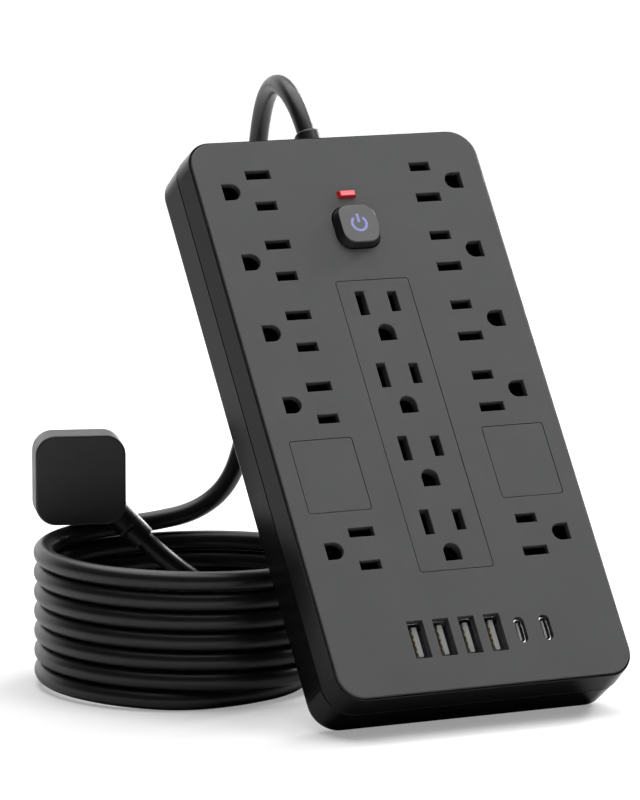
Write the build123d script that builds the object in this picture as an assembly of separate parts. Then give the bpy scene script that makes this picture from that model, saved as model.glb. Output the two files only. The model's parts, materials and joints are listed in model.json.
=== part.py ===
from build123d import *
import os
from math import cos, pi, radians, sin, tan

os.makedirs("parts", exist_ok=True)

# A flat surge protector that stands on its lower rear edge and leans back in front of its own
# coiled mains lead. Millimetres.
#
# Everything in the housing is drawn in the housing's own directions:
#   x across the face, y up the face, z out of the face, with z = 0 on the face
# and stand() then tips it back into the row's frame: +Z up, floor at Z = 0.

# ---- driving dimensions: housing ------------------------------------------------------
WIDTH = 116.0
LENGTH = 219.5
DEPTH = 27.3
CORNER = 10.0
LEAN = 35.0                 # angle between the housing and the vertical, degrees
FACE_INSET = 0.85           # how much smaller the face plate is than the housing, each side
FRAME_FLARE = 0.7           # how much the frame grows from the rim to the parting line, each side
COVER_FRONT = 0.5           # how much larger the cover is than the housing at the parting line
COVER_BACK = 0.3            # and at the back
BACK_ROUND = 3.0            # rounding of the back edge
RIM = -1.1                  # level of the frame's front rim
RIM_GAP = 0.55              # groove between the face plate and the rim
PARTING = -11.2             # level where the frame meets the rear cover
GROOVE = 0.35               # fine groove that shows where the frame meets the cover
SHOULDER = 0.35             # bevel on both sides of that groove
WALL = 2.2
PANEL = 2.4                 # thickness of the face parts
PANEL_BACK = -PANEL
LEDGE_THICK = 1.2
FLOOR_IN = -DEPTH + WALL    # inner floor of the rear cover
FRAME_WALL = 4.7
COVER_WALL = 3.4
LIP = 1.5                   # how far the frame reaches into the cover
LIP_GAP = 0.2
SEAM = 0.25                 # gap round an inlaid plate

# ---- driving dimensions: outlets -------------------------------------------------------
BLADE_PITCH = 12.7
GROUND_DROP = 12.07         # from the blades' line to the ground hole
SIDE_LINE = 32.58           # x of the blade line of a side outlet
SIDE_ROWS = [88.97, 60.48, 32.0, 3.51, -53.5]
CENTRE_ROWS = [41.5, 12.5, -16.5, -45.5]
SLOT = 3.55
WIDE_SLOT = 9.65
NARROW_SLOT = 8.05
GROUND_WIDTH = 6.5
GROUND_LENGTH = 6.65
BEVEL = 0.2                 # bevel round each hole, at the face
INSERT = (28.8, 114.9)
INSERT_Y = -6.9
BLANK = (24.3, 28.0)
BLANK_X = 38.05
BLANK_Y = -24.7
LEDGE = 1.2                 # how far an inlaid plate reaches behind the panel
PLATE_EDGE = 1.0            # corner radius of the inlaid plates

# ---- driving dimensions: controls and USB ----------------------------------------------
BUTTON = (16.8, 16.7)       # at the face
BUTTON_TOP = (14.7, 15.0)
BUTTON_CORNER = 5.2
BUTTON_Y = 71.8
BUTTON_PROUD = 3.3
BUTTON_TRAVEL = 2.0
BUTTON_GAP = 0.35
ICON_RADIUS = 2.8
ICON_LINE = 1.0
LAMP = (7.3, 2.85)          # at the face
LAMP_TOP = (5.7, 2.0)
LAMP_Y = 85.4
LAMP_PROUD = 1.4
LAMP_CORNER = 0.4
PORT_Y = -89.4
PORT_PITCH = 10.0
USB_A_X = [-22.4, -12.4, -2.4, 7.6]
USB_C_X = [17.6, 27.6]
USB_A_HOLE = (6.4, 14.3)
USB_C_HOLE = (4.0, 9.8)
USB_A = (6.0, 13.7)
USB_C = (3.2, 9.0)
USB_A_TOP = -1.9            # the mouths sit a little below the face
USB_C_TOP = -1.35
USB_A_DEEP = 12.0
USB_C_DEEP = 7.4
TONGUE_A = (1.8, 11.2)
TONGUE_A_SHIFT = 0.35       # the tongue is nearer to the right side of its mouth
TONGUE_C = (0.8, 6.6)
SHEET = 0.35                # receptacle sheet metal
CAN_BASE = 0.8              # block that closes the foot of a receptacle

# ---- driving dimensions: lead and plug -------------------------------------------------
CORD = 7.1
CORD_R = CORD / 2
TURN_R = 52.9               # radius of the coil at the middle of the lead
TURNS = 7
COIL_X = -58.9
COIL_Y = 47.3
GLAND_Z = -15.0             # level of the lead's axis where it enters the housing
GLAND_OUT = 9.5
PLUG = 33.0
PLUG_DEPTH = 16.5
PLUG_CORNER = 7.5
PLUG_TURN = -8.0            # which way the plug's face looks, degrees from the view ahead
VIEW_TURN = 26.6            # direction of the view ahead, degrees from +Y towards +X

# ---- the row's frame ---------------------------------------------------------------------
EDGE_Y = -51.9              # y of the lower rear edge, so that the footprint is centred
EDGE_LIFT = -0.895          # the rounded lower rear edge touches the floor
STAND = Pos(0, EDGE_Y, EDGE_LIFT) * Rot(90 - LEAN, 0, 0) * Pos(0, LENGTH / 2, DEPTH)

nodes = {}


def add(name, solids, standing=True):
    """Store one node, tipped into the row's frame unless it is drawn there already."""
    solids = solids if isinstance(solids, list) else [solids]
    parts = []
    for shape in solids:
        parts.extend(shape.solids())
    place = STAND if standing else Location()
    parts = [place * part for part in parts]
    nodes[name] = parts[0] if len(parts) == 1 else Compound(children=parts)


def slab(width, length, z0, z1, corner=0.0, x=0.0, y=0.0):
    """Upright block between two levels, with rounded corners."""
    outline = RectangleRounded(width, length, corner) if corner else Rectangle(width, length)
    return Pos(x, y, z0) * extrude(outline, z1 - z0)


def rod(radius, z0, z1, x=0.0, y=0.0):
    return Pos(x, y, z0) * extrude(Circle(radius), z1 - z0)


def edges_at(shape, level):
    return shape.edges().filter_by_position(Axis.Z, level - 0.01, level + 0.01)


def soften(shape, level, size):
    """Chamfer the edges of a shape that lie on one level."""
    return chamfer(edges_at(shape, level), size)


def housing_outline(level, grow):
    """Outline of the housing at one level, grown all round."""
    return Pos(0, 0, level) * RectangleRounded(WIDTH + 2 * grow, LENGTH + 2 * grow, CORNER + grow)


def tapered(foot, top, corner, height, x, y):
    """Block that stands on the face and narrows towards its top."""
    lower = Pos(x, y, 0) * RectangleRounded(foot[0], foot[1], corner)
    upper = Pos(x, y, height) * RectangleRounded(top[0], top[1], corner * top[1] / foot[1])
    return loft([lower, upper])


# ---- outlets: where the holes are ---------------------------------------------------------
def side_outlets(side):
    """Outlets of one side column: side is -1 on the left and 1 on the right."""
    outlets = []
    for row in SIDE_ROWS:
        wide_y = row - side * BLADE_PITCH / 2
        narrow_y = row + side * BLADE_PITCH / 2
        outlets.append({
            "wide": (side * SIDE_LINE, wide_y, 0),
            "narrow": (side * SIDE_LINE, narrow_y, 0),
            "ground": (side * (SIDE_LINE + GROUND_DROP), row, 180 if side > 0 else 0),
        })
    return outlets


def centre_outlets():
    outlets = []
    for row in CENTRE_ROWS:
        outlets.append({
            "wide": (-BLADE_PITCH / 2, row, 90),
            "narrow": (BLADE_PITCH / 2, row, 90),
            "ground": (0.0, row - GROUND_DROP, 90),
        })
    return outlets


def ground_outline():
    """Flat on the left and round on the right, centred on its middle."""
    flat = GROUND_LENGTH - GROUND_WIDTH / 2
    shift = -GROUND_LENGTH / 2
    block = Pos(shift + flat / 2, 0) * Rectangle(flat, GROUND_WIDTH)
    return block + Pos(shift + flat, 0) * Circle(GROUND_WIDTH / 2)


def outlet_holes(outlets, z0):
    """Cutters for every hole from the face down to a level, with a small bevel at the face."""
    cutters = []
    for outlet in outlets:
        for kind, long_side in (("wide", WIDE_SLOT), ("narrow", NARROW_SLOT), ("ground", 0)):
            outline = Rectangle(long_side, SLOT) if long_side else ground_outline()
            x, y, turn = outlet[kind]
            place = Pos(x, y, 0) * Rot(0, 0, turn)
            cutters.append(place * extrude(outline, z0))
            mouth = offset(outline, BEVEL, kind=Kind.INTERSECTION)
            cutters.append(place * extrude(mouth, -BEVEL, taper=45))
    return cutters


# ---- housing -----------------------------------------------------------------------------
SCREWS = [(-47.5, 99.8), (47.5, 99.8), (-47.5, -99.8), (47.5, -99.8), (-21.5, -71.0), (21.5, -71.0)]
SCREW_SHANK = 1.4
SCREW_HEAD = 2.7
BOSS_R = 3.1                # tubes behind the panel that the screws bite into
POST_R = 3.8                # posts on the cover that the screws pass through
POST_END = -13.6            # level where a post ends
BOSS_GAP = 0.2              # between a boss and its post
BORE_END = -6.0             # how far the screw's bore goes into the boss
FEET = [(-42.0, 92.0), (42.0, 92.0), (-42.0, -92.0), (42.0, -92.0)]
FOOT_R = 5.0
FOOT_PROUD = 0.8
KEYHOLES = [(-14.0, 16.0), (14.0, 16.0)]
KEY_ENTRY = 4.2
KEY_NECK = 2.1
KEY_RUN = 8.0
BOARD_TOP = -20.2           # surge board
BOARD = 1.6                 # thickness of both boards
BOARD_PILLARS = [(-18.5, 57.0), (18.5, 57.0), (-18.5, 85.5), (18.5, 85.5)]
USB_BOARD_TOP = USB_A_TOP - USB_A_DEEP
PORT_PILLARS = [(-26.0, -82.0), (31.0, -82.0), (-26.0, -97.0), (31.0, -97.0)]
PILLAR_R = 1.6

cover = loft([housing_outline(-DEPTH, COVER_BACK), housing_outline(PARTING - GROOVE, COVER_FRONT)])
cover = fillet(edges_at(cover, -DEPTH), BACK_ROUND)
cover = soften(cover, PARTING - GROOVE, SHOULDER)
cover += extrude(housing_outline(PARTING - GROOVE, -GROOVE), GROOVE)
cover -= extrude(housing_outline(FLOOR_IN, -COVER_WALL), PARTING - FLOOR_IN)
for x, y in SCREWS:
    cover -= rod(SCREW_HEAD + 0.2, -DEPTH, FLOOR_IN, x, y)
for x, y in FEET:
    cover -= rod(FOOT_R + 0.1, -DEPTH, -DEPTH + 0.8, x, y)
for x, y in KEYHOLES:
    cover -= rod(KEY_ENTRY, -DEPTH, FLOOR_IN, x, y)
    cover -= slab(2 * KEY_NECK, KEY_RUN, -DEPTH, FLOOR_IN, 0, x, y + KEY_RUN / 2)
    cover -= rod(KEY_NECK, -DEPTH, FLOOR_IN, x, y + KEY_RUN)

GLAND_NECK = 4.9            # hole for the gland
FLANGE_R = 7.0
COLLAR_R = 5.0              # the part of the gland that shows
COLLAR_AT = 0.9             # the collar begins just outside the wall
COLLAR_ROUND = 1.2


def along_lead(radius, y0, y1):
    """Round bar on the lead's axis inside the housing."""
    return Pos(0, y0, GLAND_Z) * Rot(-90, 0, 0) * extrude(Circle(radius), y1 - y0)


top_wall = LENGTH / 2
gland_mouth = along_lead(GLAND_NECK, top_wall - 8, top_wall + 2)
cover -= gland_mouth
add("rear_cover", cover)

posts = []
for x, y in SCREWS:
    posts.append(rod(POST_R, FLOOR_IN, POST_END, x, y) - rod(SCREW_SHANK + 0.2, FLOOR_IN, POST_END, x, y))
posts += [rod(PILLAR_R, FLOOR_IN, BOARD_TOP - BOARD, x, y) for x, y in BOARD_PILLARS]
posts += [rod(PILLAR_R, FLOOR_IN, USB_BOARD_TOP - BOARD, x, y) for x, y in PORT_PILLARS]
add("cover_posts", posts)

frame = loft([housing_outline(PARTING, FRAME_FLARE), housing_outline(RIM, 0)])
frame = soften(frame, PARTING, SHOULDER)
frame += extrude(housing_outline(PARTING - LIP, -COVER_WALL - LIP_GAP), LIP)
frame -= extrude(housing_outline(PARTING - LIP, -FRAME_WALL), RIM - PARTING + LIP)
frame -= extrude(housing_outline(PANEL_BACK, RIM_GAP - FACE_INSET), RIM - PANEL_BACK)
frame -= gland_mouth
add("side_frame", frame)

# ---- face ---------------------------------------------------------------------------------
panel = extrude(housing_outline(PANEL_BACK, -FACE_INSET), PANEL)
panel = soften(panel, 0, 0.2)
panel -= slab(INSERT[0] + 2 * SEAM, INSERT[1] + 2 * SEAM, PANEL_BACK, 0, PLATE_EDGE + SEAM, 0, INSERT_Y)
for side in (-1, 1):
    panel -= slab(BLANK[0] + 2 * SEAM, BLANK[1] + 2 * SEAM, PANEL_BACK, 0,
                  PLATE_EDGE + SEAM, side * BLANK_X, BLANK_Y)
    for cutter in outlet_holes(side_outlets(side), PANEL_BACK):
        panel -= cutter
panel -= slab(BUTTON[0] + 2 * BUTTON_GAP, BUTTON[1] + 2 * BUTTON_GAP, PANEL_BACK, 0,
              BUTTON_CORNER + BUTTON_GAP, 0, BUTTON_Y)
panel -= slab(LAMP[0] + 0.2, LAMP[1] + 0.2, PANEL_BACK, 0, LAMP_CORNER + 0.1, 0, LAMP_Y)
for x in USB_A_X:
    panel -= slab(USB_A_HOLE[0], USB_A_HOLE[1], PANEL_BACK, 0, 0.3, x, PORT_Y)
for x in USB_C_X:
    panel -= slab(USB_C_HOLE[0], USB_C_HOLE[1], PANEL_BACK, 0, USB_C_HOLE[0] / 2 - 0.01, x, PORT_Y)
add("front_panel", panel)

bosses = []
for x, y in SCREWS:
    bosses.append(rod(BOSS_R, POST_END + BOSS_GAP, PANEL_BACK, x, y) - rod(SCREW_SHANK, POST_END, BORE_END, x, y))
add("screw_bosses", bosses)


def inlaid_plate(size, x, y):
    """Plate flush with the face, held by a ledge behind the panel."""
    plate = slab(size[0], size[1], PANEL_BACK, 0, PLATE_EDGE, x, y)
    plate = soften(plate, 0, 0.15)
    ledge_back = PANEL_BACK - LEDGE_THICK
    ledge = slab(size[0] + 2 * LEDGE, size[1] + 2 * LEDGE, ledge_back, PANEL_BACK, 1.5, x, y)
    return plate + ledge


insert = inlaid_plate(INSERT, 0, INSERT_Y)
for cutter in outlet_holes(centre_outlets(), PANEL_BACK - LEDGE_THICK):
    insert -= cutter
add("centre_outlet_plate", insert)
add("left_blank_plate", inlaid_plate(BLANK, -BLANK_X, BLANK_Y))
add("right_blank_plate", inlaid_plate(BLANK, BLANK_X, BLANK_Y))

# ---- contacts and their carriers -------------------------------------------------------------
CARRIER_TOP = -3.9
CARRIER_FOOT = -20.6
STRIP_TOP = CARRIER_FOOT
STRIP_FOOT = -21.2
STRIP_WIDE = 3.4
LEAF = 0.5
LEAF_GAP = 1.3
LEAF_TOP = -6.0
BUS_END = 53.7               # the centre strips run up to the surge board


def carrier(outlets, x, y0, y1, width, feet):
    """Moulded block on short feet, with one pocket for each contact."""
    block = slab(width, y1 - y0, CARRIER_FOOT, CARRIER_TOP, 1.0, x, (y0 + y1) / 2)
    for foot_x, foot_y in feet:
        block += slab(2.0, 3.0, FLOOR_IN, CARRIER_FOOT, 0, foot_x, foot_y)
    for post_x, post_y in SCREWS:
        block -= rod(POST_R + 0.6, CARRIER_FOOT, CARRIER_TOP, post_x, post_y)
    for outlet in outlets:
        for kind in ("wide", "narrow"):
            px, py, turn = outlet[kind]
            pocket = Pos(px, py, CARRIER_FOOT) * Rot(0, 0, turn)
            block -= pocket * extrude(Rectangle(10.4, 5.2), CARRIER_TOP - CARRIER_FOOT)
        px, py, turn = outlet["ground"]
        pocket = Pos(px, py, CARRIER_FOOT) * Rot(0, 0, turn)
        block -= pocket * extrude(Rectangle(8.0, 8.0), CARRIER_TOP - CARRIER_FOOT)
    return block


def leaves(x, y, turn, long_side, gap):
    """Pair of spring leaves that grip one blade, standing on a short foot."""
    foot = extrude(Rectangle(long_side, gap + 2 * LEAF), STRIP_TOP - STRIP_FOOT)
    pair = Pos(x, y, STRIP_FOOT) * Rot(0, 0, turn) * foot
    for offset in (-1, 1):
        leaf = extrude(Rectangle(long_side, LEAF), LEAF_TOP - STRIP_FOOT)
        pair += Pos(x, y, STRIP_FOOT) * Rot(0, 0, turn) * Pos(0, offset * (gap + LEAF) / 2) * leaf
    return pair


def bus(points, strip_x, y0, y1, reach, turn, long_side, gap):
    """Brass strip with a pair of leaves at each point; reach is the leaves' own x."""
    bar = slab(STRIP_WIDE, y1 - y0, STRIP_FOOT, STRIP_TOP, 0, strip_x, (y0 + y1) / 2)
    for y in points:
        bar += leaves(reach, y, turn, long_side, gap)
        tab = abs(reach - strip_x) + STRIP_WIDE / 2
        bar += slab(tab, 3.0, STRIP_FOOT, STRIP_TOP, 0, (reach + strip_x) / 2, y)
    return bar


for side, name in ((-1, "left"), (1, "right")):
    outlets = side_outlets(side)
    feet = [(side * x, y) for x in (41.0, 48.8) for y in (-62.0, -25.0, 17.8, 75.0)]
    add(name + "_contact_carrier", carrier(outlets, side * 38.0, -66.0, 99.5, 24.6, feet))
    wide_x = side * 28.4
    narrow_x = side * 36.8
    ground_x = side * (SIDE_LINE + GROUND_DROP)
    add(name + "_neutral_bus", bus([o["wide"][1] for o in outlets], wide_x, -66.0, 98.0,
                                   side * 31.6, 0, 5.2, LEAF_GAP))
    add(name + "_line_bus", bus([o["narrow"][1] for o in outlets], narrow_x, -66.0, 98.0,
                                side * 33.6, 0, 5.0, LEAF_GAP))
    add(name + "_ground_bus", bus([o["ground"][1] for o in outlets], ground_x, -66.0, 94.0,
                                  ground_x, 0, 5.0, 4.2))
centre = centre_outlets()
feet = [(x, y) for x in (-4.4, 4.4) for y in (-53.0, -23.5, 5.5, 35.0)]
add("centre_contact_carrier", carrier(centre, 0, -64.0, 50.0, 24.0, feet))
wide_rows = [o["wide"][1] for o in centre]
narrow_rows = [o["narrow"][1] for o in centre]
add("centre_neutral_bus", bus(wide_rows, -9.6, -64.0, BUS_END, -6.35, 90, 6.4, LEAF_GAP))
add("centre_line_bus", bus(narrow_rows, 9.6, -64.0, BUS_END, 6.35, 90, 6.4, LEAF_GAP))
add("centre_ground_bus", bus([o["ground"][1] for o in centre], 0, -64.0, BUS_END, 0, 90, 5.0, 4.2))

# Jumpers are soldered across the undersides of the strips that they join.
JUMPER_R = 0.6
JUMPER_Z = STRIP_FOOT - JUMPER_R
JUMPERS = {
    "neutral_jumpers": [(-28.4, 28.4, 47.0)],
    "line_jumpers": [(-36.8, 36.8, -12.0)],
    "ground_jumpers": [(-45.0, 45.0, -38.0)],
}
for name, runs in JUMPERS.items():
    wires = []
    for x0, x1, y in runs:
        wires.append(Pos(x0, y, JUMPER_Z) * Rot(0, 90, 0) * extrude(Circle(JUMPER_R), x1 - x0))
    add(name, wires)

# ---- power button and switch --------------------------------------------------------------------
BUTTON_SKIRT = -3.0
RETAINER = 0.9
cap = tapered(BUTTON, BUTTON_TOP, BUTTON_CORNER, BUTTON_PROUD, 0, BUTTON_Y)
cap = fillet(edges_at(cap, BUTTON_PROUD), 0.4)
cap += slab(BUTTON[0], BUTTON[1], BUTTON_SKIRT, 0, BUTTON_CORNER, 0, BUTTON_Y)
cap += slab(BUTTON[0] + 2 * RETAINER, BUTTON[1] + 2 * RETAINER, BUTTON_SKIRT - 1.2, BUTTON_SKIRT,
            BUTTON_CORNER + RETAINER, 0, BUTTON_Y)
icon_gap = 38.0             # half of the opening at the top of the ring, degrees
ring = Circle(ICON_RADIUS + ICON_LINE / 2) - Circle(ICON_RADIUS - ICON_LINE / 2)
wedge = Polygon((0, 0), (-6 * tan(radians(icon_gap)), 6), (6 * tan(radians(icon_gap)), 6), align=None)
ring -= wedge
bar = Pos(0, 2.2) * Rectangle(ICON_LINE, 3.4)
ICON_DEPTH = 0.6
icon = Pos(0, BUTTON_Y, BUTTON_PROUD - ICON_DEPTH) * extrude(ring, ICON_DEPTH)
icon_bar = Pos(0, BUTTON_Y, BUTTON_PROUD - ICON_DEPTH) * extrude(bar, ICON_DEPTH)
cap -= icon
cap -= icon_bar
add("power_button", cap)
add("power_icon", [icon, icon_bar])

SWITCH = 16.0
SWITCH_TOP = -9.4
PLUNGER_R = 2.6
PLUNGER_FOOT = -13.8
SPRING_TOP = PLUNGER_FOOT - BUTTON_TRAVEL - 0.3
plunger = rod(PLUNGER_R, PLUNGER_FOOT, BUTTON_SKIRT - 1.2, 0, BUTTON_Y)
add("switch_plunger", plunger)
switch = slab(SWITCH, SWITCH, BOARD_TOP, SWITCH_TOP, 0.8, 0, BUTTON_Y)
switch -= rod(PLUNGER_R + 0.3, BOARD_TOP + 1.0, SWITCH_TOP, 0, BUTTON_Y)
add("switch_body", switch)
SPRING_WIRE = 0.3
spring_foot = BOARD_TOP + 1.0 + SPRING_WIRE
spring_line = Helix(pitch=0.95, height=SPRING_TOP - SPRING_WIRE - spring_foot, radius=1.9)
spring_plane = Plane(origin=spring_line @ 0, z_dir=spring_line % 0)
spring = sweep(spring_plane * Circle(SPRING_WIRE), path=spring_line)
add("return_spring", Pos(0, BUTTON_Y, spring_foot) * spring)

lens = tapered(LAMP, LAMP_TOP, LAMP_CORNER, LAMP_PROUD, 0, LAMP_Y)
lens = soften(lens, LAMP_PROUD, 0.15)
lens += slab(LAMP[0], LAMP[1], PANEL_BACK, 0, LAMP_CORNER, 0, LAMP_Y)
lens += slab(LAMP[0] + 1.6, LAMP[1] + 1.6, PANEL_BACK - 1.0, PANEL_BACK, 0.6, 0, LAMP_Y)
add("indicator_lens", lens)
lamp = rod(1.5, -9.0, -4.2, 0, LAMP_Y)
for y in (LAMP_Y - 0.8, LAMP_Y + 0.8):
    lamp += slab(5.0, 0.5, -9.4, -8.9, 0, 2.5, y)
    lamp += slab(0.5, 0.5, BOARD_TOP, -8.9, 0, 4.8, y)
add("indicator_lamp", lamp)

# ---- surge protection board -------------------------------------------------------------------------
add("surge_board", slab(43.0, 35.0, BOARD_TOP - BOARD, BOARD_TOP, 1.0, 0, 71.2))
varistors = []
for y in (60.0, 67.5, 75.0):
    disc = Pos(-15.4, y - 1.9, BOARD_TOP + 5.6) * Rot(-90, 0, 0) * extrude(Circle(5.6), 3.8)
    varistors.append(fillet(disc.edges().filter_by(GeomType.CIRCLE), 1.0))
add("varistors", varistors)
capacitor = slab(7.5, 16.0, BOARD_TOP, -8.5, 0, 15.4, 66.0)
add("filter_capacitor", fillet(capacitor.edges().filter_by(Axis.Z), 0.8))
fuse = Pos(15.4, 78.0, BOARD_TOP + 2.0) * Rot(-90, 0, 0) * extrude(Circle(2.0), 9.5)
add("thermal_fuse", fuse)

# ---- USB module ----------------------------------------------------------------------------------------
cans = []
tongues = []
for x in USB_A_X:
    can = slab(USB_A[0], USB_A[1], USB_BOARD_TOP, USB_A_TOP, 0.5, x, PORT_Y)
    bore_w = USB_A[0] - 2 * SHEET
    bore_l = USB_A[1] - 2 * SHEET
    can -= slab(bore_w, bore_l, USB_BOARD_TOP + CAN_BASE, USB_A_TOP, 0.2, x, PORT_Y)
    cans.append(can)
    tongues.append(slab(TONGUE_A[0], TONGUE_A[1], USB_BOARD_TOP + CAN_BASE, USB_A_TOP - 0.5, 0.3,
                        x + TONGUE_A_SHIFT, PORT_Y))
add("usb_a_cans", cans)
add("usb_a_tongues", tongues)
contacts = []
CONTACT = (0.25, 1.0)
for x in USB_A_X:
    contact_x = x + TONGUE_A_SHIFT - (TONGUE_A[0] + CONTACT[0]) / 2
    for along in (-3.5, -1.0, 1.0, 3.5):
        foot_level = USB_BOARD_TOP + 1.2
        contacts.append(slab(CONTACT[0], CONTACT[1], foot_level, USB_A_TOP - 0.8, 0, contact_x, PORT_Y + along))
add("usb_a_contacts", contacts)
cans = []
tongues = []
for x in USB_C_X:
    oval = USB_C[0] / 2 - 0.01
    c_floor = USB_C_TOP - USB_C_DEEP + CAN_BASE
    can = slab(USB_C[0], USB_C[1], USB_C_TOP - USB_C_DEEP, USB_C_TOP, oval, x, PORT_Y)
    can -= slab(USB_C[0] - 2 * SHEET, USB_C[1] - 2 * SHEET, c_floor, USB_C_TOP, oval - SHEET, x, PORT_Y)
    cans.append(can)
    tongues.append(slab(TONGUE_C[0], TONGUE_C[1], c_floor, USB_C_TOP - 0.6, 0.1, x, PORT_Y))
add("usb_c_cans", cans)
add("usb_c_tongues", tongues)
riser_top = USB_C_TOP - USB_C_DEEP
risers = [slab(USB_C[0], USB_C[1], USB_BOARD_TOP, riser_top, 1.0, x, PORT_Y) for x in USB_C_X]
add("usb_c_spacers", risers)
add("usb_board", slab(62.0, 20.0, USB_BOARD_TOP - BOARD, USB_BOARD_TOP, 1.0, 2.6, PORT_Y))
add("usb_transformer", slab(18.0, 14.0, FLOOR_IN + 0.3, USB_BOARD_TOP - BOARD, 0.8, -14.0, PORT_Y))

# ---- fixings ----------------------------------------------------------------------------
screws = []
for x, y in SCREWS:
    head = rod(SCREW_HEAD, FLOOR_IN - 1.6, FLOOR_IN, x, y)
    head -= Pos(x, y, FLOOR_IN - 1.6) * extrude(Rectangle(3.2, 0.7) + Rectangle(0.7, 3.2), 0.8)
    screws.append(head + rod(SCREW_SHANK, FLOOR_IN, -6.0, x, y))
add("cover_screws", screws)
feet = []
for x, y in FEET:
    foot = rod(FOOT_R, -DEPTH - FOOT_PROUD, -DEPTH + 0.8, x, y)
    feet.append(soften(foot, -DEPTH - FOOT_PROUD, 0.3))
add("rubber_feet", feet)

# ---- cord entry -------------------------------------------------------------------------
collar = along_lead(COLLAR_R, top_wall + COLLAR_AT, top_wall + GLAND_OUT)
gland = fillet(collar.edges().filter_by(GeomType.CIRCLE).sort_by(Axis.Y)[-1], COLLAR_ROUND)
gland += along_lead(GLAND_NECK - 0.1, top_wall - 5.2, top_wall + COLLAR_AT)
gland += along_lead(FLANGE_R, top_wall - 7.4, top_wall - 5.2)
gland += along_lead(CORD_R + 1.0, top_wall - 14.0, top_wall - 7.0)
gland -= along_lead(CORD_R, top_wall - 14.0, top_wall + GLAND_OUT)
add("cord_gland", gland)
LEAD_IN = 88.0
add("cord_tail", along_lead(CORD_R, LEAD_IN, top_wall + GLAND_OUT))
CLAMP_Y = 92.0
clamp = slab(22.0, 5.0, -15.6, -9.6, 1.0, 0, CLAMP_Y)
clamp -= along_lead(CORD_R, CLAMP_Y - 5, CLAMP_Y + 5)
saddle = slab(22.0, 5.0, FLOOR_IN, -15.8, 1.0, 0, CLAMP_Y)
saddle -= along_lead(CORD_R, CLAMP_Y - 5, CLAMP_Y + 5)
clamp_screws = []
for x in (-7.5, 7.5):
    saddle -= rod(1.25, -20.0, -15.0, x, CLAMP_Y)
    clamp_screws.append(rod(2.2, -9.6, -8.2, x, CLAMP_Y) + rod(1.2, -19.0, -9.6, x, CLAMP_Y))
add("clamp_saddle", saddle)
for x in (-7.5, 7.5):
    clamp -= rod(1.3, -15.6, -9.6, x, CLAMP_Y)
add("cord_clamp", clamp)
add("clamp_screws", clamp_screws)


def round_path(points):
    """Straight runs joined by arcs as large as the runs allow, and the arcs' radii."""
    points = [Vector(*p) for p in points]
    radii = []
    for before, here, after in zip(points, points[1:], points[2:]):
        first = here - before
        second = after - here
        turn = radians(first.get_angle(second))
        radii.append(0.45 * min(first.length, second.length) / tan(turn / 2))
    return FilletPolyline(*points, radius=radii), radii


def tube(points, radius, label):
    path, radii = round_path(points)
    start = Plane(origin=path @ 0, z_dir=path % 0)
    shape = sweep(start * Circle(radius), path=path)
    expected = pi * radius ** 2 * path.length
    text = " ".join("%.0f" % value for value in radii)
    ratio = shape.volume / expected
    print("%s: length %.0f mm, volume ratio %.3f, radii %s" % (label, path.length, ratio, text))
    return shape


WIRE_R = 1.1
WIRE_LIFT = 0.3             # the wires stop just over the board they are soldered to
wires = {
    "line_wire": [(1.75, LEAD_IN, -16.0), (1.75, 85.0, -16.0), (2.6, 82.8, -15.2), (2.6, 80.4, -15.2)],
    "neutral_wire": [
        (-1.75, LEAD_IN, -16.0), (-1.75, 86.0, -16.0), (-5.0, 84.0, -16.6), (-5.4, 83.2, BOARD_TOP + WIRE_LIFT),
    ],
    "ground_wire": [
        (0.0, LEAD_IN, -13.0), (0.0, 86.0, -13.0), (-0.6, 83.4, -15.4), (-0.6, 82.4, BOARD_TOP + WIRE_LIFT),
    ],
}
for name, points in wires.items():
    add(name, tube(points, WIRE_R, name))

# ---- lead: drop from the housing to the coil, coil, and the end that comes up inside it -------
# These lie in the row's frame. The route is a list of points chosen by hand.
DROP = [
    (0.0, 69.4, 193.8), (0.0, 74.8, 201.4), (1.0, 88.3, 208.8), (4.2, 104.6, 209.8),
    (7.6, 120.1, 202.2), (10.1, 130.9, 185.8), (9.6, 132.7, 163.2), (5.6, 124.9, 138.1),
    (-1.3, 112.0, 114.4), (-8.5, 100.2, 93.6), (-14.8, 92.9, 76.2), (-22.2, 91.1, 61.8),
    (-33.6, 94.0, 53.1), (-48.4, 99.1, 49.8),
]

coil_height = TURNS * CORD
wall = Plane.XZ * Pos(TURN_R, coil_height / 2) * RectangleRounded(CORD, coil_height, CORD_R - 0.05)
add("cord_coil", Pos(COIL_X, COIL_Y, 0) * revolve(wall, Axis.Z), standing=False)


def round_coil(radius, turn, z):
    """Point at a radius and a fraction of a turn, counted from the side the view comes from."""
    angle = 2 * pi * turn
    ahead = radians(VIEW_TURN)
    forward = -radius * cos(angle)
    across = -radius * sin(angle)
    x = COIL_X + forward * sin(ahead) + across * cos(ahead)
    y = COIL_Y + forward * cos(ahead) - across * sin(ahead)
    return Vector(x, y, z)


# The drop runs on along the coil's last part turn and sinks into the turn below.
for turn in (6.39, 6.31, 6.23, 6.15, 6.07):
    DROP.append(tuple(round_coil(TURN_R, turn, CORD_R + turn * CORD)))
add("cord_drop", tube(DROP, CORD_R, "cord_drop"), standing=False)

# Plug, drawn with x across its face, y up and z out of the face. It sits on the top turn.
PLUG_SEAT = 52.7
SEAT_TURN = 0.361
seat = round_coil(TURN_R, SEAT_TURN, PLUG_SEAT + PLUG / 2)
PLUG_PLACE = Pos(seat.X, seat.Y, seat.Z) * Rot(0, 0, -VIEW_TURN - PLUG_TURN) * Rot(90, 0, 0)
RELIEF_TIP = 33.0
RELIEF_ROOT = 11.0
RELIEF_R = (5.7, 4.9)
INSERT_T = 2.5
INSERT_EDGE = 2.6
half = PLUG_DEPTH / 2
prong_face = -half - 0.4      # the prong plate stands this far out of the plug

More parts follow.
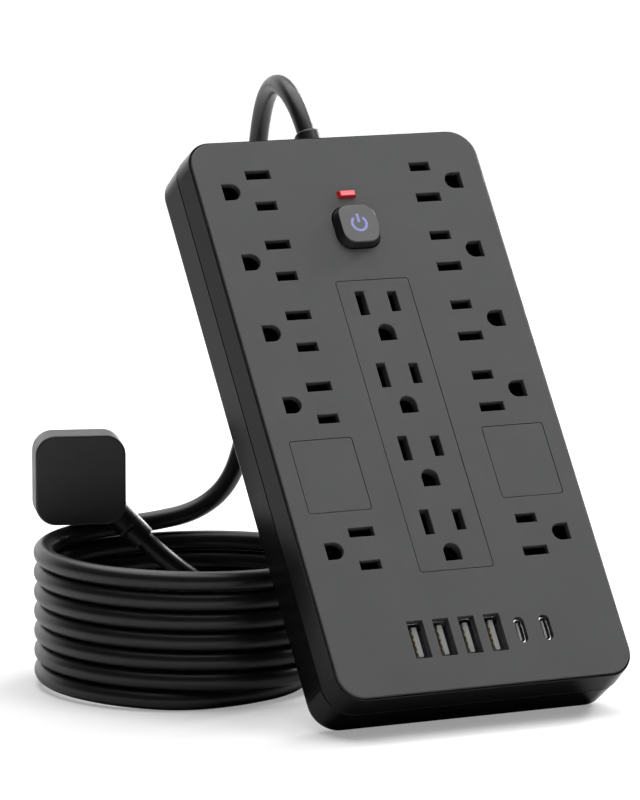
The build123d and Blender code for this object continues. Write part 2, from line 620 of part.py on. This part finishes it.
body = slab(PLUG, PLUG, -half, half, PLUG_CORNER)
body = fillet(body.edges().filter_by_position(Axis.Z, half - 0.01, half + 0.01), 0.8)
body = fillet(body.edges().filter_by_position(Axis.Z, -half - 0.01, -half + 0.01), 1.2)
insert_side = PLUG - 2 * INSERT_EDGE
prong_plate = slab(insert_side, insert_side, prong_face, -half + INSERT_T, PLUG_CORNER - INSERT_EDGE)
body -= slab(insert_side, insert_side, -half - 1, -half + INSERT_T, PLUG_CORNER - INSERT_EDGE)
relief_axis = Rot(0, 0, -45) * Rot(0, 90, 0)
relief = loft([relief_axis * Pos(0, 0, RELIEF_ROOT) * Circle(RELIEF_R[0]),
               relief_axis * Pos(0, 0, RELIEF_TIP) * Circle(RELIEF_R[1])])
body -= relief
for slot_at, slot_turn in ((26.0, 20.0), (26.0, 200.0)):
    turned = Rot(0, 0, -45) * Pos(slot_at, 0, 0) * Rot(slot_turn, 0, 0)
    notch = turned * Pos(0, 0, 5.0) * Box(1.6, 8.0, 2.2)
    relief -= notch

BLADE_Y = 4.0
BLADE = (1.5, 6.35)
BLADE_OUT = 17.5
PIN_R = 2.39
PIN_OUT = 20.6
PRONG_IN = 4.0
PIN_ROOT_R = 1.9            # the pin is thinner where it is moulded in
PIN_NOSE = 1.8
blades = []
for side in (-1, 1):
    blade_end = prong_face - BLADE_OUT
    blade = slab(BLADE[0], BLADE[1], blade_end, -half + PRONG_IN, 0, side * BLADE_PITCH / 2, BLADE_Y)
    blades.append(soften(blade, blade_end, 0.5))
pin_y = BLADE_Y - 11.9
pin_end = prong_face - PIN_OUT
pin = rod(PIN_R, pin_end, prong_face, 0, pin_y)
pin = fillet(pin.edges().filter_by_position(Axis.Z, pin_end - 0.01, pin_end + 0.01), PIN_NOSE)
pin += rod(PIN_ROOT_R, prong_face, -half + PRONG_IN, 0, pin_y)
for prong in blades + [pin]:
    prong_plate -= prong
    body -= prong
add("plug_blades", [PLUG_PLACE * blade for blade in blades], standing=False)
add("ground_pin", PLUG_PLACE * pin, standing=False)
add("plug_body", PLUG_PLACE * body, standing=False)
add("plug_prong_plate", PLUG_PLACE * prong_plate, standing=False)
add("plug_strain_relief", PLUG_PLACE * relief, standing=False)

# The end that comes up inside the coil: from the plug down to the floor, once round, and under.
diagonal = sin(pi / 4)
start = PLUG_PLACE * Pos(RELIEF_TIP * diagonal, -RELIEF_TIP * diagonal, 0)
step = PLUG_PLACE * Pos((RELIEF_TIP + 13.0) * diagonal, -(RELIEF_TIP + 13.0) * diagonal, 0)
LEAD = [start.position, step.position]
for radius, turn, z in ((41.5, 0.56, 21.5), (42.6, 0.655, 10.0), (43.6, 0.75, 4.4), (44.8, 0.845, 3.65),
                        (47.6, 0.93, 3.6), (51.6, 1.01, 3.6)):
    LEAD.append(round_coil(radius, turn, z))
add("plug_lead", tube(LEAD, CORD_R, "plug_lead"), standing=False)

for name, shape in nodes.items():
    shape.label = name
    export_step(shape, "parts/%s.step" % name)

# Reference points in the row's frame, for whoever fits the part to something.
housing = Compound(children=[nodes["rear_cover"], nodes["side_frame"], nodes["front_panel"]])
box = housing.bounding_box()
print("housing", box.min, box.max)
print("lead leaves the gland at", (STAND * Pos(0, top_wall + GLAND_OUT, GLAND_Z)).position)
for x, y in KEYHOLES:
    print("keyhole", (STAND * Pos(x, y, -DEPTH)).position)
print("ground pin tip", (PLUG_PLACE * Pos(0, pin_y, pin_end)).position)
print("ground pin root", (PLUG_PLACE * Pos(0, pin_y, prong_face)).position)
print("ground pin middle", (PLUG_PLACE * Pos(0, pin_y, (prong_face + pin_end + PIN_NOSE) / 2)).position)
print("lead points", [tuple(round(v, 1) for v in point) for point in LEAD])
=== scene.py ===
import json
import math

import bpy
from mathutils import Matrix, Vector

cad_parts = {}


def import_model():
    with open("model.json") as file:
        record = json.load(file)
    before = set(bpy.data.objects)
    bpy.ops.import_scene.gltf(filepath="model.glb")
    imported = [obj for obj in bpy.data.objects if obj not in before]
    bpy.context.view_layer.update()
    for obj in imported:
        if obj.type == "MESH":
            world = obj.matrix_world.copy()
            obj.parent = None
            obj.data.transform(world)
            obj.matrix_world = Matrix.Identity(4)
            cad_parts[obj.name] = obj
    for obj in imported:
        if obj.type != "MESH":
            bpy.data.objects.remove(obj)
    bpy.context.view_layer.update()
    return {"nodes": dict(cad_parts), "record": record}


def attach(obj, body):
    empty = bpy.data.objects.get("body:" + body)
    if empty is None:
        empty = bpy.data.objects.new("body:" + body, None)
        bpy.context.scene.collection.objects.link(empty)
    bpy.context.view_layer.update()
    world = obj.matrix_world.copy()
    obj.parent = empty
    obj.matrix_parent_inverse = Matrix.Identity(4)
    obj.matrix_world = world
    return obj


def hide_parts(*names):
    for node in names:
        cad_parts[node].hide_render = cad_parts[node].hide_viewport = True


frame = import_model()

# ---- the camera ----------------------------------------------------------------------------
# It looks a little down on the housing from the left of its front, from nearly two metres away.
CAMERA_AT = Vector((-0.8609, -1.6617, 0.3839))
CAMERA_LOOKS = Vector((0.4426, 0.8845, -0.1474))
CAMERA_LENS = 239.8
SENSOR = 36.0

camera_data = bpy.data.cameras.new("camera")
camera_data.lens = CAMERA_LENS
camera_data.sensor_width = SENSOR
camera_data.clip_start = 0.05
camera_data.clip_end = 50.0
camera = bpy.data.objects.new("camera", camera_data)
bpy.context.collection.objects.link(camera)
camera.location = CAMERA_AT
camera.rotation_mode = "QUATERNION"
camera.rotation_quaternion = CAMERA_LOOKS.to_track_quat("-Z", "Y")
bpy.context.scene.camera = camera


# ---- node helpers -----------------------------------------------------------------------------
def new_material(name):
    """Empty node material with a Principled shader: (material, nodes, links, shader)."""
    mat = bpy.data.materials.new(name)
    mat.use_nodes = True
    tree = mat.node_tree
    shader = tree.nodes["Principled BSDF"]
    return mat, tree.nodes, tree.links, shader


def noise(nodes, links, place, scale, detail=3.0, roughness=0.5):
    """Noise in the object's own metres; its Fac output."""
    node = nodes.new("ShaderNodeTexNoise")
    node.inputs["Scale"].default_value = scale
    node.inputs["Detail"].default_value = detail
    node.inputs["Roughness"].default_value = roughness
    links.new(place, node.inputs["Vector"])
    return node.outputs["Fac"]


def map_range(nodes, links, value, low, high, to_low, to_high):
    node = nodes.new("ShaderNodeMapRange")
    node.inputs["From Min"].default_value = low
    node.inputs["From Max"].default_value = high
    node.inputs["To Min"].default_value = to_low
    node.inputs["To Max"].default_value = to_high
    links.new(value, node.inputs["Value"])
    return node.outputs["Result"]


def mix_colours(nodes, links, factor, first, second):
    """Colour between two colours, or between a colour output and a colour."""
    node = nodes.new("ShaderNodeMix")
    node.data_type = "RGBA"
    links.new(factor, node.inputs["Factor"])
    for value, socket in ((first, node.inputs["A"]), (second, node.inputs["B"])):
        if isinstance(value, bpy.types.NodeSocket):
            links.new(value, socket)
        else:
            socket.default_value = (*value, 1.0)
    return node.outputs["Result"]


def worn_and_highlit_edges(nodes, links, radius):
    """1 on sharp outer edges and 0 on flat faces, from how far a rounded normal turns away; it marks both
    worn edges and painted edge highlights.
    """
    bevel = nodes.new("ShaderNodeBevel")
    bevel.samples = 4
    bevel.inputs["Radius"].default_value = radius
    geometry = nodes.new("ShaderNodeNewGeometry")
    dot = nodes.new("ShaderNodeVectorMath")
    dot.operation = "DOT_PRODUCT"
    links.new(bevel.outputs["Normal"], dot.inputs[0])
    links.new(geometry.outputs["Normal"], dot.inputs[1])
    return map_range(nodes, links, dot.outputs["Value"], 0.995, 0.85, 0.0, 1.0)


def surface(name, colour, roughness, metallic=0.0, specular=0.5, mottle=0.08, mottle_scale=45.0,
            grain_scale=2200.0, grain_depth=0.00002, grain_strength=0.25, wear_and_highlight=0.0, wear_and_highlight_colour=None):
    """Moulded or plated surface: mottled colour, uneven gloss, fine grain, and lighter edges that are part
    wear and part painted highlight.
    """
    mat, nodes, links, shader = new_material(name)
    shader.inputs["Metallic"].default_value = metallic
    shader.inputs["Specular IOR Level"].default_value = specular
    place = nodes.new("ShaderNodeTexCoord").outputs["Object"]
    broad = noise(nodes, links, place, mottle_scale)
    dark = [c * (1.0 - mottle) for c in colour]
    light = [c * (1.0 + mottle) for c in colour]
    tint = mix_colours(nodes, links, map_range(nodes, links, broad, 0.3, 0.7, 0.0, 1.0), dark, light)
    # Lighter colour on sharp edges: partly wear, partly a painted highlight along chamfers and rims.
    if wear_and_highlight:
        edge = worn_and_highlit_edges(nodes, links, 0.0004)
        patchy = noise(nodes, links, place, 160.0)
        amount = nodes.new("ShaderNodeMath")
        amount.operation = "MULTIPLY"
        links.new(edge, amount.inputs[0])
        links.new(map_range(nodes, links, patchy, 0.3, 0.7, 0.3 * wear_and_highlight, wear_and_highlight), amount.inputs[1])
        pale = wear_and_highlight_colour or [min(1.0, c * 2.2 + 0.02) for c in colour]
        tint = mix_colours(nodes, links, amount.outputs["Value"], tint, pale)
    links.new(tint, shader.inputs["Base Color"])
    fine = noise(nodes, links, place, 320.0, 2.0)
    gloss = map_range(nodes, links, fine, 0.3, 0.7, roughness * 0.93, min(1.0, roughness * 1.07))
    links.new(gloss, shader.inputs["Roughness"])
    grain = noise(nodes, links, place, grain_scale, 2.0, 0.6)
    bump = nodes.new("ShaderNodeBump")
    bump.inputs["Strength"].default_value = grain_strength
    bump.inputs["Distance"].default_value = grain_depth
    links.new(grain, bump.inputs["Height"])
    links.new(bump.outputs["Normal"], shader.inputs["Normal"])
    return mat


# ---- materials -----------------------------------------------------------------------------------
def face_plastic():
    # The lighter edges here are mostly a painted highlight along the chamfers of the plate grooves and slot
    # edges.
    return surface("face_plastic", (0.07, 0.0705, 0.072), 0.5, mottle=0.05, grain_scale=3200.0,
                   grain_depth=0.00003, grain_strength=0.35, wear_and_highlight=0.8)


def frame_plastic():
    return surface("frame_plastic", (0.004, 0.004, 0.0042), 0.25, specular=0.14, mottle=0.06,
                   grain_depth=0.000015, wear_and_highlight=0.3)


def cover_plastic():
    return surface("cover_plastic", (0.004, 0.004, 0.0042), 0.22, specular=0.12, mottle=0.06,
                   grain_depth=0.000012, wear_and_highlight=0.3)


def lead_rubber():
    """Smooth satin sheath: long soft waviness and a very fine skin."""
    return surface("lead_rubber", (0.006, 0.006, 0.0062), 0.36, specular=0.5, mottle=0.12, mottle_scale=30.0,
                   grain_scale=900.0, grain_depth=0.00002, grain_strength=0.12)


def plug_plastic():
    return surface("plug_plastic", (0.02, 0.02, 0.0205), 0.42, mottle=0.05, grain_scale=3000.0,
                   grain_depth=0.00002, grain_strength=0.3, wear_and_highlight=0.4)


def steel():
    # Near-white edges: a painted highlight along the rims, as well as wear.
    return surface("steel", (0.62, 0.62, 0.63), 0.24, metallic=1.0, mottle=0.06, grain_scale=1500.0,
                   grain_depth=0.000006, grain_strength=0.2, wear_and_highlight=0.6, wear_and_highlight_colour=(0.9, 0.9, 0.92))


def button_plastic():
    return surface("button_plastic", (0.005, 0.005, 0.0052), 0.24, specular=0.85, wear_and_highlight=0.2)


def brass():
    return surface("brass", (0.72, 0.52, 0.22), 0.3, metallic=1.0, mottle=0.1, grain_scale=900.0,
                   grain_depth=0.00001)


def plain(name, colour, roughness):
    return surface(name, colour, roughness, wear_and_highlight=0.3)


FACE_TILT = math.radians(55.0)      # between the face and the floor
FACE_NORMAL = (0.0, -math.sin(FACE_TILT), math.cos(FACE_TILT))


def glowing(name, colour, glow, side_glow, strength, roughness):
    """Lit plastic: one glow on its top and a darker one on its sides."""
    mat = surface(name, colour, roughness, mottle=0.1, mottle_scale=600.0)
    nodes, links = mat.node_tree.nodes, mat.node_tree.links
    shader = nodes["Principled BSDF"]
    dot = nodes.new("ShaderNodeVectorMath")
    dot.operation = "DOT_PRODUCT"
    links.new(nodes.new("ShaderNodeNewGeometry").outputs["Normal"], dot.inputs[0])
    dot.inputs[1].default_value = FACE_NORMAL
    on_top = map_range(nodes, links, dot.outputs["Value"], 0.75, 0.98, 0.0, 1.0)
    links.new(mix_colours(nodes, links, on_top, side_glow, glow), shader.inputs["Emission Color"])
    shader.inputs["Emission Strength"].default_value = strength
    return mat


def icon_plastic():
    return glowing("icon_plastic", (0.2, 0.2, 0.42), glow=(0.36, 0.38, 1.0), side_glow=(0.05, 0.05, 0.2),
                   strength=0.3, roughness=0.35)


def lens_red():
    return glowing("lens_red", (0.4, 0.015, 0.02), glow=(1.0, 0.2, 0.22), side_glow=(0.1, 0.0, 0.003),
                   strength=0.75, roughness=0.15)


MATERIALS = {
    "face_plastic": face_plastic(),
    "frame_plastic": frame_plastic(),
    "cover_plastic": cover_plastic(),
    "inner_nylon": plain("inner_nylon", (0.004, 0.004, 0.004), 0.6),
    "contact_brass": brass(),
    "insulation_black": plain("insulation_black", (0.01, 0.01, 0.01), 0.3),
    "insulation_white": plain("insulation_white", (0.7, 0.7, 0.68), 0.35),
    "insulation_green": plain("insulation_green", (0.03, 0.25, 0.06), 0.35),
    "button_plastic": button_plastic(),
    "icon_plastic": icon_plastic(),
    "spring_steel": steel(),
    "lens_red": lens_red(),
    "lamp_amber": plain("lamp_amber", (0.8, 0.25, 0.08), 0.1),
    "board_green": plain("board_green", (0.02, 0.12, 0.05), 0.4),
    "varistor_blue": plain("varistor_blue", (0.03, 0.08, 0.35), 0.3),
    "capacitor_yellow": plain("capacitor_yellow", (0.6, 0.42, 0.06), 0.35),
    "ceramic_white": plain("ceramic_white", (0.7, 0.7, 0.68), 0.5),
    "port_steel": steel(),
    "tongue_plastic": plain("tongue_plastic", (0.36, 0.36, 0.36), 0.45),
    "contact_gold": brass(),
    "screw_steel": steel(),
    "foot_rubber": plain("foot_rubber", (0.012, 0.012, 0.012), 0.8),
    "lead_rubber": lead_rubber(),
    "clamp_nylon": plain("clamp_nylon", (0.02, 0.02, 0.02), 0.5),
    "plug_plastic": plug_plastic(),
    "prong_metal": steel(),
}
SLOTS = {part["node"]: part["material_slot"] for part in frame["record"]["subparts"]}
for node, obj in frame["nodes"].items():
    for slot in obj.material_slots:
        slot.material = MATERIALS[SLOTS[node]]

# ---- the mains lead: one line from the housing, down behind it, through the coil, to the plug -----
LEAD = 0.0071               # diameter
TURN_R = 0.0529
COIL_TURNS = 6.39
COIL_AT = (-0.0589, 0.0473)
VIEW_TURN = math.radians(26.6)
POINTS_PER_TURN = 16


def round_coil(radius, turn, z):
    """Point at a radius and a fraction of a turn, counted from the side the camera is on."""
    angle = 2 * math.pi * turn
    forward = -radius * math.cos(angle)
    across = -radius * math.sin(angle)
    x = COIL_AT[0] + forward * math.sin(VIEW_TURN) + across * math.cos(VIEW_TURN)
    y = COIL_AT[1] + forward * math.cos(VIEW_TURN) - across * math.sin(VIEW_TURN)
    return (x, y, z)


drop = [
    (0.0000, 0.0694, 0.1938), (0.0000, 0.0748, 0.2014), (0.0010, 0.0883, 0.2088),
    (0.0042, 0.1046, 0.2098), (0.0076, 0.1201, 0.2022), (0.0101, 0.1309, 0.1858),
    (0.0096, 0.1327, 0.1632), (0.0056, 0.1249, 0.1381), (-0.0013, 0.1120, 0.1144),
    (-0.0085, 0.1002, 0.0936), (-0.0148, 0.0929, 0.0762), (-0.0222, 0.0911, 0.0618),
    (-0.0336, 0.0940, 0.0531), (-0.0484, 0.0991, 0.0498),
]
steps = int(COIL_TURNS * POINTS_PER_TURN)
coil = []
for step in range(steps + 1):
    turn = COIL_TURNS * (1 - step / steps)
    coil.append(round_coil(TURN_R, turn, LEAD / 2 + turn * LEAD))
inside = [
    round_coil(0.0476, -0.07, 0.0036), round_coil(0.0448, -0.155, 0.00365),
    round_coil(0.0436, -0.25, 0.0044), round_coil(0.0426, -0.345, 0.0100),
    round_coil(0.0415, -0.44, 0.0215),
    (-0.0491, 0.0855, 0.0367), (-0.0578, 0.0884, 0.0459),
]


def lead_curve(name, points, diameter):
    curve = bpy.data.curves.new(name, "CURVE")
    curve.dimensions = "3D"
    curve.bevel_depth = diameter / 2
    curve.bevel_resolution = 8
    curve.resolution_u = 8
    curve.use_fill_caps = True
    spline = curve.splines.new("NURBS")
    spline.points.add(len(points) - 1)
    for point, where in zip(spline.points, points):
        point.co = (*where, 1.0)
    spline.order_u = 3
    spline.use_endpoint_u = True
    obj = bpy.data.objects.new(name, curve)
    bpy.context.collection.objects.link(obj)
    return obj


lead = lead_curve("mains_lead", drop + coil + inside, LEAD)
lead.data.materials.append(MATERIALS["lead_rubber"])
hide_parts("cord_drop", "cord_coil", "plug_lead")
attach(lead, "housing")

# ---- floor, world and lights ------------------------------------------------------------------------
FLOOR_HALF = 12.0
FLOOR_FILL = 0.30           # keeps the shadows under the object pale


def floor():
    mesh = bpy.data.meshes.new("floor")
    corners = [(-FLOOR_HALF, -FLOOR_HALF, 0), (FLOOR_HALF, -FLOOR_HALF, 0),
               (FLOOR_HALF, FLOOR_HALF, 0), (-FLOOR_HALF, FLOOR_HALF, 0)]
    mesh.from_pydata(corners, [], [(0, 1, 2, 3)])
    obj = bpy.data.objects.new("floor", mesh)
    bpy.context.collection.objects.link(obj)
    paper = surface("floor_paper", (0.72, 0.72, 0.72), 0.8, specular=0.0, mottle=0.01,
                    grain_scale=400.0, grain_strength=0.05)
    nodes, links = paper.node_tree.nodes, paper.node_tree.links
    rays = nodes.new("ShaderNodeLightPath")
    shader = nodes["Principled BSDF"]
    shader.inputs["Emission Color"].default_value = (1.0, 1.0, 1.0, 1.0)
    fill = map_range(nodes, links, rays.outputs["Is Camera Ray"], 0.0, 1.0, 0.0, FLOOR_FILL)
    links.new(fill, shader.inputs["Emission Strength"])
    mesh.materials.append(paper)


ROOM_LIGHT = 0.05           # how strongly the world lights the object from most sides
WALL_LIGHT = 1.5            # and from straight behind it
BACKDROP = 1.05             # what the camera sees of it


def world():
    """White to the camera. As a light it is dark, except for a white wall behind the object."""
    scene = bpy.context.scene
    scene.world = bpy.data.worlds.new("studio")
    scene.world.use_nodes = True
    nodes, links = scene.world.node_tree.nodes, scene.world.node_tree.links
    background = nodes["Background"]
    background.inputs["Color"].default_value = (1.0, 1.0, 1.0, 1.0)
    split = nodes.new("ShaderNodeSeparateXYZ")
    links.new(nodes.new("ShaderNodeTexCoord").outputs["Generated"], split.inputs["Vector"])
    wall = map_range(nodes, links, split.outputs["Y"], 0.7, 0.98, ROOM_LIGHT, WALL_LIGHT)
    white = nodes.new("ShaderNodeMath")
    white.operation = "MAXIMUM"
    rays = nodes.new("ShaderNodeLightPath")
    backdrop = map_range(nodes, links, rays.outputs["Is Camera Ray"], 0.0, 1.0, 0.0, BACKDROP)
    links.new(backdrop, white.inputs[0])
    links.new(wall, white.inputs[1])
    links.new(white.outputs["Value"], background.inputs["Strength"])
    scene.view_settings.view_transform = "Standard"


def aim(obj, at, look_at):
    bpy.context.collection.objects.link(obj)
    obj.location = at
    obj.rotation_mode = "QUATERNION"
    obj.rotation_quaternion = (Vector(look_at) - Vector(at)).to_track_quat("-Z", "Y")


def overhead(at, angle, strength):
    """Even light over the whole floor, wide enough for soft shadows."""
    data = bpy.data.lights.new("overhead", "SUN")
    data.angle = math.radians(angle)
    data.energy = strength
    aim(bpy.data.objects.new("overhead", data), at, (0.0, 0.0, 0.0))


def softbox(name, at, look_at, width, height, power):
    data = bpy.data.lights.new(name, "AREA")
    data.shape = "RECTANGLE"
    data.size = width
    data.size_y = height
    data.energy = power
    aim(bpy.data.objects.new(name, data), at, look_at)


floor()
world()
CENTRE = (0.0, 0.0, 0.1)
overhead((0.3, 0.5, 2.0), 70.0, 3.0)
softbox("front_right", (0.9, -0.9, 1.7), CENTRE, 0.9, 0.9, 6.0)
softbox("right_back", (1.2, 0.9, 0.5), (0.0, 0.1, 0.18), 0.5, 0.7, 14.0)
softbox("right_top", (1.3, 0.35, 0.9), CENTRE, 0.3, 0.3, 9.0)
